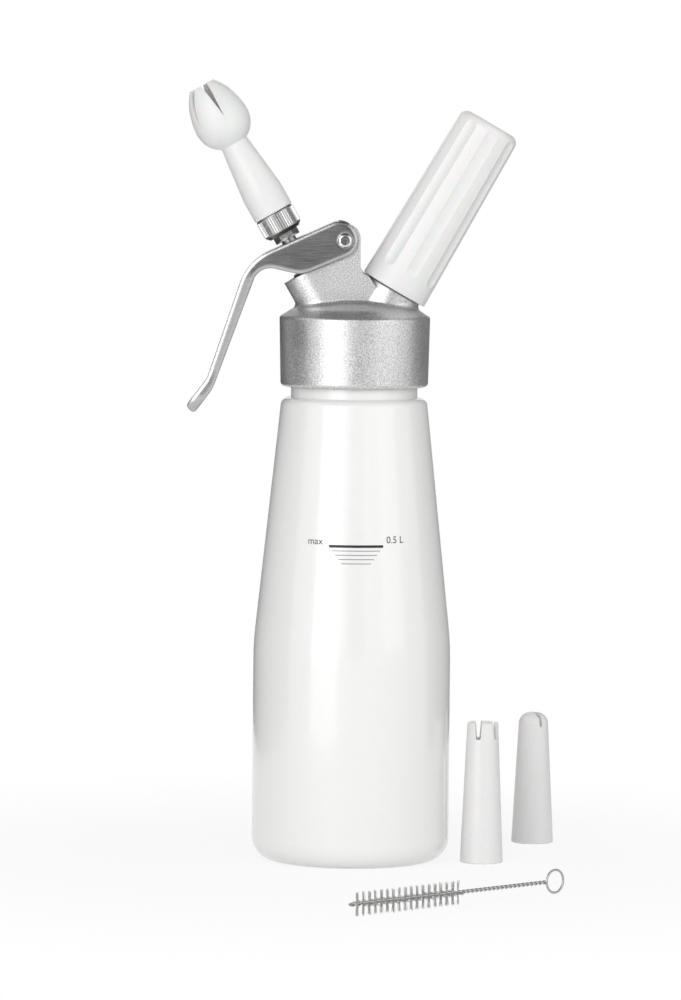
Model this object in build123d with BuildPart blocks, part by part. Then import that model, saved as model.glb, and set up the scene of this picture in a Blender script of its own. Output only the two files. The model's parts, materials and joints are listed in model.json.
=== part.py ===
"""Whipped cream dispenser: an aluminium bottle with a screwed-on cast head, a lever
valve with a tulip nozzle, a gas charger in its holder, and the spare nozzles and brush
of the set.  Millimetres, Z up, origin at the centre of the bottle's foot, the lever on
the -X side and the charger holder on the +X side.
"""
from math import atan2, cos, hypot, radians, sin, sqrt, tan
import os

from build123d import *

os.makedirs("parts", exist_ok=True)

# ---------------------------------------------------------------- driving dimensions
# Clearances shared by the fits
running = 0.05            # radial play of a pin or a stem in its bore
snug = 0.02               # play between pieces that are screwed or pressed together
seat_gap = 0.1            # space left between faces that meet across a joint

# Shared by several pieces
edge_round = 0.4          # small rounding left on turned and moulded edges
past = 20.0               # a cutting shape runs this far past what it cuts
slot_overrun = 1.0        # a slot's mouth width is given this far past the mouth
through = 120.0           # long enough to cut right through the lever
hexagon = 6

# Bottle
body_radius = 39.0
bottle_wall = 1.5
base_round = 9.0
foot_radius = 25.5
foot_recess = 1.6
foot_round = 1.2
taper_start = 86.0        # top of the straight cylinder
taper_blend = 120.0
shoulder_radius = 28.7
shoulder_height = 183.2
shoulder_round = 3.2
neck_root_round = 2.0
neck_bead_radius = 25.0
neck_bead_height = 5.2
neck_bevel = 0.8          # from the top of the bead down to the thread
lip_round = 0.8
neck_thread_radius = 23.7
neck_bore_radius = 20.6
neck_length = 18.3        # from the shoulder to the lip

# Head casting
collar_radius = 29.7      # at its top edge
collar_draft = 0.6        # the collar is this much slimmer at its lower edge
skirt_length = 14.0       # the collar hangs this far below the bottle's lip
collar_height = 27.4
collar_edge_round = 1.8
collar_top_round = 1.2
dome_break_radius = 24.6  # the bevel over the collar ends here and the dome begins
dome_break_rise = 3.3     # from the collar's top edge
dome_rise = 7.9           # from the collar's top edge
dome_blend = 6.0
collar_thread_bore = 24.3
relief_bore = 25.6
relief_over_bead = 1.7    # the relief runs this far past the bottle's neck bead
relief_lead = 1.3         # height of the cone from the relief into the thread
gasket_thickness = 1.9
cavity_radius = 18.5
cavity_height = 6.5       # above the gasket's seat
cavity_round = 4.0
boss_tilt = 30.0          # each boss leans this far from the vertical
crossing_drop = 15.4      # from the collar's top edge down to where the boss axes meet
casting_round = 2.0
web_round = 3.0           # in the corner between the lug and the charger boss

# Valve boss and the valve in it; stations are counted along the boss axis
valve_boss_radius = 10.0
valve_boss_top = 38.5
valve_chamber_radius = 6.5
valve_chamber_mouth = 6.0 # the chamber opens into the cream cavity here
valve_seat = 18.0
guide_length = 6.8
ring_pocket_radius = 4.95
ring_pocket_depth = 2.2
spring_pocket_radius = 6.6
stem_radius = 3.0
stem_bore = 1.7
stem_port_radius = 1.1
seal_radius = 5.4
seal_thickness = 3.0
retainer_radius = 5.0
retainer_thickness = 2.4
stem_tail = 0.8           # the stem runs this far past its retainer
port_rise = 1.8           # from the floor of the stem's bore to its ports
spring_seat_thickness = 0.8
spring_wire = 1.2
spring_radius = 4.9
spring_turns = 5.5
coil_facets = 8           # sides of the coil's wire
nut_radius = 6.0
nut_bottom = 41.2
lock_washer_radius = 5.2
lock_washer_bottom = 53.1
lock_washer_thickness = 0.8
lock_nut_flats = 9.0

# Nozzle adapter, with the knurled ring that the fingers turn
adapter_bottom = 55.7
knurl_radius = 7.8
knurl_length = 8.9
knurl_chamfer = 1.4
spigot_radius = 6.1
spigot_length = 9.2
stem_in_adapter = 6.4
spigot_round = 0.6
ring_groove_rise = 1.6    # above the knurled ring
ring_groove_width = 1.5
ring_groove_radius = 4.95
adapter_ring_section = 0.54

# Nozzles
socket_play = 0.12
socket_floor_gap = 0.6    # over the end of the spigot
socket_bevel = 1.2
nozzle_wall = 1.4
nozzle_base_radius = 8.2
tulip_straight = 9.5
tulip_waist_round = 14.0
tulip_neck_radius = 5.6
tulip_neck_length = 31.4
tulip_bulb_radius = 11.2
tulip_bulb_rise = 9.8     # from the neck to the widest place
tulip_bulb_length = 26.0
tulip_crown_radius = 9.63
tulip_crown_drop = 7.6    # below the mouth
tulip_flare = (1.7, 1)    # slopes of the bulb at the neck and at the mouth
tulip_closing = (-1, 1.25)
tulip_mouth_radius = 5.3
petal_count = 6
petal_slot_depth = 14.6
petal_slot_width = 3.0
petal_turn = 40.4

# Lever, a stamped channel on a cross screw
pivot_arm = 19.2          # from the valve axis to the pivot
pivot_station = 41.6
plate_rake = 5.4          # the plate leans this far from square to the valve axis
sheet = 1.6
plate_height = 8.4        # from the pivot to the plate's outer face
lever_inner_half = 10.4
handle_half = 10.2
plate_front = 0.8         # the plate ends here and the cheeks run on past the pivot
# Corners of its side outline, as (up the plate, out of the plate) from the pivot
cheek_toe = (5.2, -6.3)
cheek_heel = (-20.6, -5.6)
cheek_hook = (-34.6, 5.0)
cheek_end = (-71.2, -31.9)
tip_edge = (-82.2, -38.0)
tip = (-83.6, -33.7)
kick = (-72.0, -27.6)     # where the handle flicks outwards
bend_run = 38.2           # down the plate to its bend into the handle
toe_round = 7.0
heel_round = 13.0
hook_round = 7.0
cheek_end_round = 12.0
tip_round = 1.6
kick_radius = 15.0
bend_radius = 22.0
# Its front outline, as drops below the pivot
full_width_drop = 14.0
grip_drop = 52.0
grip_end_drop = 69.4
width_blend = 30.0
grip_corner = 8.0
stem_slot_half = 3.9
stem_slot_centre = 1.2    # from the valve axis, away from the pivot
stem_slot_travel = 3.4    # room for the stem as the plate swings over it
rocker_rise = 1.0         # centre of the nut's rocking face above the pivot station
lug_half = 10.0
lug_radius = 6.2
lug_foot_rise = 1.4
lug_front_round = 5.0
lug_back_round = 5.9
pivot_radius = 2.0
screw_head_radius = 2.9
screw_head_height = 1.7
screw_head_round = 1.2
key_radius = 1.25
key_depth = 1.0

# Charger boss, piercing pin and check valve
charger_boss_radius = 12.2
charger_boss_rim = 11.6    # under the holder's rim
charger_boss_top = 30.3
charger_spigot_radius = 9.6
charger_spigot_top = 42.0
charger_mouth_radius = 5.2
charger_mouth_depth = 11.0
pin_flange_radius = 3.3
pin_flange_thickness = 1.5
pin_radius = 0.9
gas_passage_radius = 1.3
check_valve_radius = 3.1
check_valve_length = 5.6
check_pocket_mouth = 8.0
check_pocket_top = 17.0
check_valve_cup = 2.0
retainer_nut_thickness = 2.0
charger_seal_thickness = 2.2
charger_seal_bore = 2.0

# Gas charger and its holder
charger_radius = 9.0
charger_length = 65.6
charger_neck_radius = 4.3
charger_neck_length = 6.8
charger_shoulder_length = 4.4
charger_lip_round = 0.6
charger_root_round = 1.4
charger_shoulder_round = 3.0
charger_end_round = 8.4
charger_play = 0.35       # around the charger in its holder
holder_rim_radius = 13.75
holder_top_radius = 12.6
holder_cap = 4.8          # its solid end, beyond the end of the charger
holder_corner = 3.4
holder_rim_round = 0.5
insert_recess = 0.6       # inside the holder's rim
insert_thickness = 1.75
insert_length = 12.6
flute_count = 8
flute_radius = 6.0
flute_depth = 0.75
flute_start = 7.5
flute_end_margin = 2.0
flute_turn = 11.0

# Spare nozzles, standing on their bases beside the bottle
crown_place = (52.0, -6.0)
crown_height = 55.5
crown_top_radius = 6.1
crown_teeth = 5
crown_slot_width = 3.0
crown_slot_foot = 1.8     # its width at its lower end
crown_slot_depth = 6.5
crown_turn = -107.5       # turns the first slot a little left of the front
star_place = (74.1, 57.6)
star_height = 52.9
star_top_radius = 5.7
star_slots = 3
star_slot_width = 1.9
star_slot_foot = 0.9
star_slot_depth = 5.5
star_dome_round = 4.6
star_turn = -60.6
spare_base_radius = 8.5
spare_socket_depth = 13.0
spare_socket_lead = 4.0   # cone from the socket into the bore

# Cleaning brush, lying in front of the bottle on its bristles and its loop
brush_tip = (-0.2, -167.6)
brush_turn = 42.0         # its handle points this far round from +X
brush_wire_radius = 0.85
brush_length = 105.0      # from the tip of the wire to the centre of the loop
brush_loop_radius = 4.35
loop_wire_radius = 0.45
bristle_radius = 4.8
bristle_start = 3.0
bristle_length = 52.0
bristle_core_gap = 0.3

# ---------------------------------------------------------- heights on the bottle axis
bead_top = shoulder_height + neck_bead_height
lip_height = shoulder_height + neck_length
gasket_seat = lip_height + seat_gap + gasket_thickness
collar_bottom = lip_height - skirt_length
collar_top = collar_bottom + collar_height
boss_crossing = collar_top - crossing_drop

# ------------------------------------------------------------------ planes and axes
lean = radians(boss_tilt)
crossing = (0, 0, boss_crossing)
valve_axis = Axis(crossing, (-sin(lean), 0, cos(lean)))
charger_axis = Axis(crossing, (sin(lean), 0, cos(lean)))
# Section planes: local x is the radius towards the bottle's top, local y the station
valve_side = Plane(crossing, x_dir=(cos(lean), 0, sin(lean)), z_dir=(0, -1, 0))
charger_side = Plane(crossing, x_dir=(cos(lean), 0, -sin(lean)), z_dir=(0, -1, 0))
# Cross planes: square to each boss axis, local z is the station
valve_cross = Plane(crossing, x_dir=(cos(lean), 0, sin(lean)), z_dir=valve_axis.direction)
charger_cross = Plane(crossing, x_dir=(cos(lean), 0, -sin(lean)), z_dir=charger_axis.direction)

pivot = valve_side.from_local_coords((pivot_arm, pivot_station, 0))
plate_angle = radians(boss_tilt - plate_rake)
# Local x runs up the plate, local y points out of it, and the origin is the pivot
lever_side = Plane(pivot, x_dir=(cos(plate_angle), 0, sin(plate_angle)), z_dir=(0, -1, 0))
lever_outer_half = lever_inner_half + sheet


def turned(plane, spindle, corners, radii=0, mode=Mode.ADD):
    """Revolve a closed half section, given as (radius, station) corners."""
    with BuildSketch(plane) as section:
        with BuildLine():
            FilletPolyline(*corners, radius=radii, close=True)
        make_face()
    revolve(section.sketch, axis=spindle, mode=mode)


def ring(plane, spindle, inner, outer, low, high, mode=Mode.ADD):
    """A plain collar or disc between two radii and two stations."""
    turned(plane, spindle, [(inner, low), (outer, low), (outer, high), (inner, high)], mode=mode)


def round_ring(plane, spindle, radius, station, section_radius):
    """A ring of round section."""
    with BuildSketch(plane) as section:
        with Locations((radius, station)):
            Circle(section_radius)
    revolve(section.sketch, axis=spindle)


def spoke(cross, angle):
    """A plane on the axis of a cross plane that faces out at an angle round it."""
    outward = cross.x_dir * cos(radians(angle)) + cross.y_dir * sin(radians(angle))
    return Plane(cross.origin, x_dir=cross.z_dir.cross(outward), z_dir=outward)


def finish(piece, name):
    """Label a finished piece and write it to its own file."""
    piece.part.label = name
    export_step(piece.part, f"parts/{name}.step")


# ---------------------------------------------------------------------------- bottle
def bottle_outline(skin):
    """Foot, side and shoulder of the bottle, moved in by a skin, with corner radii."""
    side = body_radius - skin
    corners = [
        (side, foot_recess + skin if skin else 0),
        (side, taper_start),
        (shoulder_radius - skin, shoulder_height - skin),
    ]
    return corners, [base_round - skin, taper_blend, shoulder_round - skin / 2]


with BuildPart() as bottle:
    outside, outside_radii = bottle_outline(0)
    with BuildSketch(Plane.XZ):
        with BuildLine():
            FilletPolyline(
                (0, foot_recess),
                (foot_radius, foot_recess),
                (foot_radius + foot_recess, 0),
                *outside,
                (neck_bead_radius, shoulder_height),
                (neck_bead_radius, bead_top),
                (neck_thread_radius, bead_top + neck_bevel),
                (neck_thread_radius, lip_height),
                (neck_bore_radius, lip_height),
                (0, lip_height),
                radius=[
                    0, foot_round, foot_round, *outside_radii,
                    edge_round, edge_round, edge_round, lip_round, 0, 0,
                ],
                close=True,
            )
        make_face()
        inside, inside_radii = bottle_outline(bottle_wall)
        with BuildLine():
            FilletPolyline(
                (0, foot_recess + bottle_wall),
                *inside,
                (neck_bore_radius, shoulder_height - bottle_wall),
                (neck_bore_radius, lip_height),
                (0, lip_height),
                radius=[0, *inside_radii, neck_root_round, 0, 0],
                close=True,
            )
        make_face(mode=Mode.SUBTRACT)
    revolve(axis=Axis.Z)
finish(bottle, "bottle")

# ----------------------------------------------------------------------- head gasket
with BuildPart() as head_gasket:
    ring(
        Plane.XZ, Axis.Z, neck_bore_radius, collar_thread_bore - seat_gap,
        lip_height + seat_gap, gasket_seat,
    )
finish(head_gasket, "head_gasket")

# ----------------------------------------------------------------------- head casting
spring_floor = valve_seat + guide_length + ring_pocket_depth
# Its outside is shaped about the point where the boss axes meet, with that point at the
# origin, and then lifted into place as a whole
valve_half = Plane(Vector(), x_dir=valve_side.x_dir, z_dir=valve_side.z_dir)
charger_half = Plane(Vector(), x_dir=charger_side.x_dir, z_dir=charger_side.z_dir)
lug_eye = valve_half.from_local_coords((pivot_arm, pivot_station, 0))
with BuildPart() as casting:
    # Collar and dome
    turned(
        Plane.XZ, Axis.Z,
        [
            (0, crossing_drop - collar_height),
            (collar_radius - collar_draft, crossing_drop - collar_height),
            (collar_radius, crossing_drop),
            (dome_break_radius, crossing_drop + dome_break_rise),
            (0, crossing_drop + dome_rise),
        ],
        radii=[0, collar_edge_round, collar_top_round, dome_blend, 0],
    )
    # The two leaning bosses
    ring(
        valve_half, Axis(Vector(), valve_axis.direction),
        0, valve_boss_radius, 0, valve_boss_top,
    )
    turned(
        charger_half, Axis(Vector(), charger_axis.direction),
        [
            (0, 0),
            (charger_boss_radius, 0),
            (charger_boss_rim, charger_boss_top),
            (charger_spigot_radius, charger_boss_top),
            (charger_spigot_radius, charger_spigot_top),
            (0, charger_spigot_top),
        ],
    )
    # The web between them, rising to the lug that carries the lever
    boss_centre = valve_half.from_local_coords((0, valve_boss_top, 0))
    boss_corner = valve_half.from_local_coords((valve_boss_radius, valve_boss_top, 0))
    rim_corner = charger_half.from_local_coords((-charger_boss_rim, charger_boss_top, 0))
    charger_centre = charger_half.from_local_coords((0, charger_boss_top - lug_half / 2, 0))
    with BuildSketch(Plane.XZ):
        with BuildLine():
            FilletPolyline(
                (0, 0),
                (boss_centre.X, boss_centre.Z),
                (boss_corner.X, boss_corner.Z),
                (lug_eye.X - lug_radius, lug_eye.Z + lug_radius),
                (lug_eye.X + lug_radius, lug_eye.Z + lug_radius),
                (lug_eye.X + lug_radius, rim_corner.Z + lug_foot_rise),
                (rim_corner.X, rim_corner.Z),
                (charger_centre.X, charger_centre.Z),
                radius=[0, 0, 0, lug_front_round, lug_back_round, web_round, 0, 0],
                close=True,
            )
        make_face()
    extrude(amount=lug_half, both=True)
    # The casting is blended where the web and the bosses grow out of the dome
    creases = casting.edges().filter_by(
        lambda edge: edge.geom_type in (GeomType.BSPLINE, GeomType.HYPERBOLA)
    )
    fillet(creases, casting_round)
with BuildPart() as head_body:
    add(casting.part.moved(Location(crossing)))
    # Inside: thread bore, gasket seat and cream cavity
    turned(
        Plane.XZ, Axis.Z,
        [
            (0, collar_bottom),
            (relief_bore, collar_bottom),
            (relief_bore, bead_top + relief_over_bead),
            (collar_thread_bore, bead_top + relief_over_bead + relief_lead),
            (collar_thread_bore, gasket_seat),
            (cavity_radius, gasket_seat),
            (cavity_radius, gasket_seat + cavity_height),
            (0, gasket_seat + cavity_height),
        ],
        radii=[0, 0, 0, 0, 0, 0, cavity_round, 0],
        mode=Mode.SUBTRACT,
    )
    # Valve chamber, guide bore, ring pocket and spring pocket
    turned(
        valve_side, valve_axis,
        [
            (0, valve_chamber_mouth),
            (valve_chamber_radius, valve_chamber_mouth),
            (valve_chamber_radius, valve_seat),
            (stem_radius + running, valve_seat),
            (stem_radius + running, valve_seat + guide_length),
            (ring_pocket_radius, valve_seat + guide_length),
            (ring_pocket_radius, spring_floor),
            (spring_pocket_radius, spring_floor),
            (spring_pocket_radius, valve_boss_top),
            (0, valve_boss_top),
        ],
        mode=Mode.SUBTRACT,
    )
    # Charger mouth, pin pocket, gas passage and check valve pocket
    mouth_floor = charger_spigot_top - charger_mouth_depth
    pin_floor = mouth_floor - pin_flange_thickness
    turned(
        charger_side, charger_axis,
        [
            (0, check_pocket_mouth),
            (check_valve_radius + snug, check_pocket_mouth),
            (check_valve_radius + snug, check_pocket_top),
            (gas_passage_radius, check_pocket_top),
            (gas_passage_radius, pin_floor),
            (pin_flange_radius + snug, pin_floor),
            (pin_flange_radius + snug, mouth_floor),
            (charger_mouth_radius, mouth_floor),
            (charger_mouth_radius, charger_spigot_top),
            (0, charger_spigot_top),
        ],
        mode=Mode.SUBTRACT,
    )
    # Cross hole for the lever's screw
    with BuildSketch(Plane.XZ):
        with Locations((pivot.X, pivot.Z)):
            Circle(pivot_radius + snug)
    extrude(amount=lug_half, both=True, mode=Mode.SUBTRACT)
finish(head_body, "head_body")

# -------------------------------------------------------------------- lever and screw
def mitre(before, corner, after, inset):
    """Move a corner of a left-turning outline inwards by an inset from both its sides."""
    first = atan2(corner[1] - before[1], corner[0] - before[0])
    second = atan2(after[1] - corner[1], after[0] - corner[0])
    half_turn = (second - first) / 2
    reach = inset / cos(half_turn)
    inwards = first + half_turn + radians(90)
    return corner[0] + reach * cos(inwards), corner[1] + reach * sin(inwards)


plate_end = (cheek_toe[0], plate_height)
bend = (-bend_run, plate_height)


def lever_front(inset):
    """Outline of the lever seen from its handle side, moved in by an inset."""
    head = lever_outer_half - inset
    grip = handle_half - inset
    top = pivot.Z + past
    full = pivot.Z - full_width_drop
    narrow = pivot.Z - grip_drop
    end = pivot.Z - grip_end_drop + inset / 2
    corner = grip_corner - inset
    FilletPolyline(
        (-head, top), (head, top), (head, full), (grip, narrow),
        (grip, end), (-grip, end), (-grip, narrow), (-head, full),
        radius=[0, 0, width_blend, width_blend, corner, corner, width_blend, width_blend],
        close=True,
    )


with BuildPart() as channel:
    inner_bend = mitre(plate_end, bend, kick, sheet)
    inner_kick = mitre(bend, kick, tip, sheet)
    run_on = past / hypot(tip[0] - kick[0], tip[1] - kick[1])
    inner_end = (
        inner_kick[0] + run_on * (tip[0] - kick[0]),
        inner_kick[1] + run_on * (tip[1] - kick[1]),
    )
    under = tip_edge[1] - past
    with BuildSketch(lever_side):
        with BuildLine():
            FilletPolyline(
                (past, under),
                (past, plate_height + past),
                (plate_front, plate_height + past),
                (plate_front, plate_height - sheet),
                inner_bend,
                inner_kick,
                inner_end,
                (inner_end[0], under),
                radius=[0, 0, 0, 0, bend_radius - sheet, kick_radius + sheet, 0, 0],
                close=True,
            )
        make_face()
    extrude(amount=lever_inner_half, both=True)
    with BuildSketch(Plane.YZ):
        with BuildLine():
            lever_front(sheet)
        make_face()
    extrude(amount=through, both=True, mode=Mode.INTERSECT)

with BuildPart() as lever:
    with BuildSketch(lever_side):
        with BuildLine():
            FilletPolyline(
                plate_end,
                bend,
                kick,
                tip,
                tip_edge,
                cheek_end,
                cheek_hook,
                cheek_heel,
                cheek_toe,
                radius=[
                    toe_round, bend_radius, kick_radius, tip_round, tip_round,
                    cheek_end_round, hook_round, heel_round, toe_round,
                ],
                close=True,
            )
        make_face()
    extrude(amount=lever_outer_half, both=True)
    with BuildSketch(Plane.YZ):
        with BuildLine():
            lever_front(0)
        make_face()
    extrude(amount=through, both=True, mode=Mode.INTERSECT)
    add(channel.part, mode=Mode.SUBTRACT)
    # Hole for the cross screw
    with BuildSketch(Plane.XZ):
        with Locations((pivot.X, pivot.Z)):
            Circle(pivot_radius + running)
    extrude(amount=lever_outer_half, both=True, mode=Mode.SUBTRACT)
    # Slot in the plate for the valve stem
    with BuildSketch(valve_cross.offset(pivot_station)):
        with Locations((stem_slot_centre, 0)):
            SlotCenterToCenter(stem_slot_travel, 2 * stem_slot_half)
    extrude(amount=past, mode=Mode.SUBTRACT)
finish(lever, "lever")


def cross_disc(radius, station, length):
    """A round bar about the lever's pivot, from a y station back by a length."""
    with BuildSketch(Plane.XZ.offset(-station)) as disc:
        with Locations((pivot.X, pivot.Z)):
            Circle(radius)
    extrude(disc.sketch, amount=-length)


cheek_face = lever_outer_half + seat_gap
with BuildPart() as pivot_screw:
    cross_disc(screw_head_radius, -cheek_face - screw_head_height, screw_head_height)
    fillet(pivot_screw.edges().group_by(Axis.Y)[0], screw_head_round)
    cross_disc(pivot_radius, -cheek_face, 2 * cheek_face)
    with BuildSketch(Plane.XZ.offset(cheek_face + screw_head_height)) as socket:
        with Locations((pivot.X, pivot.Z)):
            RegularPolygon(key_radius, hexagon)
    extrude(socket.sketch, amount=-key_depth, mode=Mode.SUBTRACT)
finish(pivot_screw, "pivot_screw")

with BuildPart() as pivot_nut:
    cross_disc(screw_head_radius, cheek_face, screw_head_height)
    fillet(pivot_nut.edges().group_by(Axis.Y)[-1], screw_head_round)
finish(pivot_nut, "pivot_nut")

# ---------------------------------------------------------------------------- valve
seal_bottom = valve_seat - seat_gap / 2 - seal_thickness
retainer_bottom = seal_bottom - retainer_thickness
stem_top = adapter_bottom + stem_in_adapter
bore_floor = valve_seat + stem_tail
with BuildPart() as valve_stem:
    turned(
        valve_side, valve_axis,
        [
            (0, retainer_bottom - stem_tail),
            (stem_radius, retainer_bottom - stem_tail),
            (stem_radius, stem_top),
            (stem_bore, stem_top),
            (stem_bore, bore_floor),
            (0, bore_floor),
        ],
    )
    # Two ports that let the cream in when the stem is pushed down
    with BuildSketch(valve_side):
        with Locations((0, bore_floor + port_rise)):
            Circle(stem_port_radius)
    extrude(amount=stem_radius, both=True, mode=Mode.SUBTRACT)
finish(valve_stem, "valve_stem")

with BuildPart() as valve_seal:
    ring(
        valve_side, valve_axis, stem_radius + snug, seal_radius,
        seal_bottom, seal_bottom + seal_thickness,
    )
finish(valve_seal, "valve_seal")

with BuildPart() as seal_retainer:
    ring(
        valve_side, valve_axis, stem_radius + snug, retainer_radius,
        retainer_bottom, seal_bottom,
    )
finish(seal_retainer, "seal_retainer")

ring_section = (ring_pocket_radius - stem_radius) / 2 - running
with BuildPart() as stem_ring:
    round_ring(
        valve_side, valve_axis, (ring_pocket_radius + stem_radius) / 2,
        valve_seat + guide_length + ring_pocket_depth / 2, ring_section,
    )
finish(stem_ring, "stem_ring")

with BuildPart() as spring_seat:
    ring(
        valve_side, valve_axis, stem_radius + seat_gap, spring_pocket_radius - seat_gap,
        spring_floor, spring_floor + spring_seat_thickness,
    )
finish(spring_seat, "spring_seat")

# Coil spring between its seat and the valve nut
coil_low = spring_floor + spring_seat_thickness + seat_gap + spring_wire / 2
coil_high = nut_bottom - seat_gap - spring_wire / 2
coil_base = valve_cross.offset(coil_low)
with BuildPart() as valve_spring:
    with BuildLine():
        coil = Helix(
            pitch=(coil_high - coil_low) / spring_turns,
            height=coil_high - coil_low,
            radius=spring_radius,
            center=coil_base.origin,
            direction=valve_axis.direction,
        )
    with BuildSketch(Plane(coil @ 0, z_dir=coil % 0)):
        RegularPolygon(spring_wire / 2, coil_facets)
    sweep(is_frenet=True)
finish(valve_spring, "valve_spring")

# The nut under the lever: its top is a barrel that rocks on the plate
rocker_centre = pivot_station + rocker_rise
rake = radians(plate_rake)
rocker_radius = (
    plate_height - sheet + pivot_arm * sin(rake) - rocker_rise * cos(rake) - seat_gap
)
with BuildPart() as valve_nut:
    with BuildSketch(valve_side):
        with Locations((0, rocker_centre)):
            Circle(rocker_radius)
    extrude(amount=nut_radius, both=True)
    with BuildSketch(valve_cross.offset(nut_bottom)):
        Circle(nut_radius)
        Circle(stem_radius + snug, mode=Mode.SUBTRACT)
    extrude(amount=past, mode=Mode.INTERSECT)
finish(valve_nut, "valve_nut")

lock_washer_top = lock_washer_bottom + lock_washer_thickness
with BuildPart() as lock_washer:
    ring(
        valve_side, valve_axis, stem_radius + snug, lock_washer_radius,
        lock_washer_bottom, lock_washer_top,
    )
finish(lock_washer, "lock_washer")

with BuildPart() as lock_nut:
    with BuildSketch(valve_cross.offset(lock_washer_top)):
        RegularPolygon(lock_nut_flats / 2, hexagon, major_radius=False)
        Circle(stem_radius + snug, mode=Mode.SUBTRACT)
    extrude(amount=adapter_bottom - lock_washer_top)
finish(lock_nut, "lock_nut")

# --------------------------------------------------------------------- nozzle adapter
knurl_top = adapter_bottom + knurl_length
spigot_top = knurl_top + spigot_length
groove_low = knurl_top + ring_groove_rise
groove_high = groove_low + ring_groove_width
with BuildPart() as nozzle_adapter:
    turned(
        valve_side, valve_axis,
        [
            (stem_radius + snug, adapter_bottom),
            (knurl_radius - knurl_chamfer, adapter_bottom),
            (knurl_radius, adapter_bottom + knurl_chamfer),
            (knurl_radius, knurl_top),
            (spigot_radius, knurl_top),
            (spigot_radius, groove_low),
            (ring_groove_radius, groove_low),
            (ring_groove_radius, groove_high),
            (spigot_radius, groove_high),
            (spigot_radius, spigot_top),
            (stem_bore, spigot_top),
            (stem_bore, stem_top + snug),
            (stem_radius + snug, stem_top + snug),
        ],
        radii=[0, 0, 0, edge_round, 0, 0, 0, 0, 0, spigot_round, 0, 0, 0],
    )
finish(nozzle_adapter, "nozzle_adapter")

with BuildPart() as adapter_ring:
    round_ring(
        valve_side, valve_axis, ring_groove_radius + adapter_ring_section + snug,
        (groove_low + groove_high) / 2, adapter_ring_section,
    )
finish(adapter_ring, "adapter_ring")

# --------------------------------------------------------------------- tulip nozzle
socket_radius = spigot_radius + socket_play
nozzle_foot = knurl_top + seat_gap
neck_station = nozzle_foot + tulip_neck_length
bulb_station = neck_station + tulip_bulb_rise
mouth_station = neck_station + tulip_bulb_length


def tulip_outline(skin):
    """Bulb of the tulip from its neck to its mouth, moved in by a skin."""
    return Spline(
        (tulip_neck_radius - skin, neck_station),
        (tulip_bulb_radius - skin, bulb_station),
        (tulip_crown_radius - skin, mouth_station - tulip_crown_drop),
        (tulip_mouth_radius - skin, mouth_station),
        tangents=(tulip_flare, tulip_closing),
    )


with BuildPart() as tulip_nozzle:
    with BuildSketch(valve_side):
        with BuildLine():
            rise = tulip_outline(0)
            FilletPolyline(
                rise @ 0,
                (nozzle_base_radius, nozzle_foot + tulip_straight),
                (nozzle_base_radius, nozzle_foot),
                (0, nozzle_foot),
                radius=[tulip_waist_round, edge_round],
            )
            Polyline((0, nozzle_foot), (0, mouth_station), rise @ 1)
        make_face()
        with BuildLine():
            hollow = tulip_outline(nozzle_wall)
            Polyline(
                hollow @ 0,
                (socket_radius - socket_bevel, spigot_top + socket_floor_gap + socket_bevel),
                (socket_radius, spigot_top + socket_floor_gap),
                (socket_radius, nozzle_foot),
                (0, nozzle_foot),
            )
            Polyline((0, nozzle_foot), (0, mouth_station), hollow @ 1)
        make_face(mode=Mode.SUBTRACT)
    revolve(axis=valve_axis)
    # V slots between the petals
    for petal in range(petal_count):
        with BuildSketch(spoke(valve_cross, petal * 360 / petal_count + petal_turn)):
            with BuildLine():
                Polyline(
                    (0, mouth_station - petal_slot_depth),
                    (petal_slot_width / 2, mouth_station + slot_overrun),
                    (-petal_slot_width / 2, mouth_station + slot_overrun),
                    close=True,
                )
            make_face()
        extrude(amount=tulip_bulb_radius + past, mode=Mode.SUBTRACT)
finish(tulip_nozzle, "tulip_nozzle")

# ------------------------------------------------------- piercing pin and check valve
with BuildPart() as check_valve:
    turned(
        charger_side, charger_axis,
        [
            (0, check_pocket_top - check_valve_length),
            (check_valve_radius, check_pocket_top - check_valve_length),
            (check_valve_radius, check_pocket_top),
            (gas_passage_radius, check_pocket_top),
            (gas_passage_radius, check_pocket_top - check_valve_cup),
            (0, check_pocket_top - check_valve_cup),
        ],
        radii=[0, check_valve_cup, 0, 0, 0, 0],
    )
finish(check_valve, "check_valve")

pin_retainer_top = mouth_floor + retainer_nut_thickness
seal_top = pin_retainer_top + charger_seal_thickness
charger_mouth = seal_top + seat_gap
with BuildPart() as piercing_pin:
    turned(
        charger_side, charger_axis,
        [
            (0, pin_floor),
            (pin_flange_radius, pin_floor),
            (pin_flange_radius, mouth_floor),
            (pin_radius, mouth_floor),
            (pin_radius, seal_top - 2 * pin_radius),
            (0, seal_top),
        ],
    )
finish(piercing_pin, "piercing_pin")

with BuildPart() as pin_retainer:
    ring(
        charger_side, charger_axis, pin_radius + snug, charger_mouth_radius - snug,
        mouth_floor, pin_retainer_top,
    )
finish(pin_retainer, "pin_retainer")

with BuildPart() as charger_seal:
    ring(
        charger_side, charger_axis, charger_seal_bore, charger_mouth_radius - snug,
        pin_retainer_top, seal_top,
    )
finish(charger_seal, "charger_seal")

# ----------------------------------------------------------------- charger and holder
charger_end = charger_mouth + charger_length
shoulder_low = charger_mouth + charger_neck_length
with BuildPart() as gas_charger:
    turned(
        charger_side, charger_axis,
        [
            (0, charger_mouth),
            (charger_neck_radius, charger_mouth),
            (charger_neck_radius, shoulder_low),
            (charger_radius, shoulder_low + charger_shoulder_length),
            (charger_radius, charger_end),
            (0, charger_end),
        ],
        radii=[
            0, charger_lip_round, charger_root_round, charger_shoulder_round,
            charger_end_round, 0,
        ],
    )
finish(gas_charger, "gas_charger")

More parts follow.
